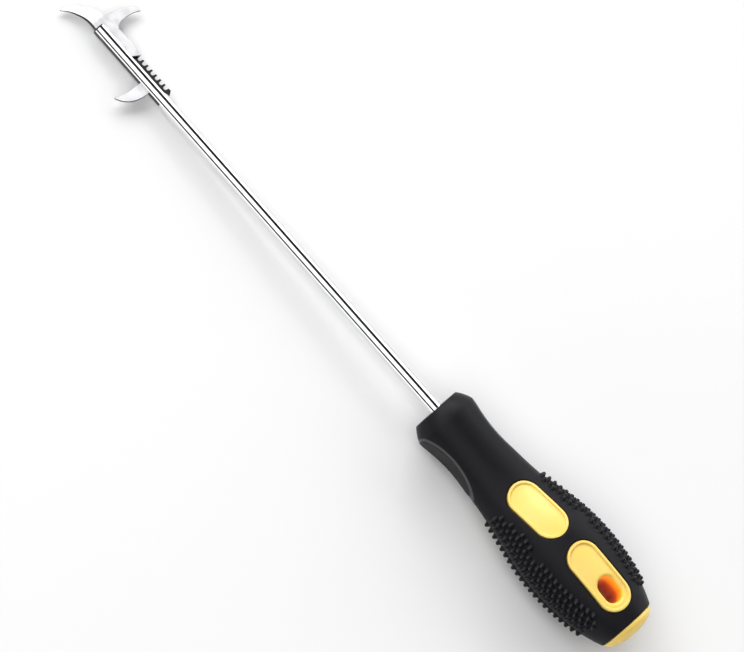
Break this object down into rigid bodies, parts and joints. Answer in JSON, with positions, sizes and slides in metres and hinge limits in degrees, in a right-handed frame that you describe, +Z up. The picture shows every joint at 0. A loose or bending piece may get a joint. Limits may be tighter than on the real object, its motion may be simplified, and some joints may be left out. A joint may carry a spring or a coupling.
{
  "type": "tyre tread cleaning hook",
  "caption": "Hand tool with a chromed rod, a flat three-hook head with a serrated edge, and a ribbed two-colour handle, for picking stones out of tyre treads.",
  "frame": {"origin": "centre of the underside of the whole tool's box, lying at rest on a level surface", "axes": "+X along the tool from the handle towards the hooks, +Y across it on the side of the long forward hook, +Z up out of the upper face of the handle"},
  "size_m": [0.2856, 0.0324, 0.0285],
  "materials": {
    "chrome": "bright plated steel with fine handling marks",
    "plate_steel": "plated stamped steel, slightly duller than the rod",
    "yellow_plastic": "semi-gloss, slightly translucent lemon yellow",
    "black_rubber": "satin moulded thermoplastic rubber"
  },
  "bodies": {
    "root": {"shaft": "chrome", "hook_plate": "plate_steel", "braze_fillets": "chrome", "handle_core": "yellow_plastic", "rubber_grip": "black_rubber"}
  },
  "joints": []
}
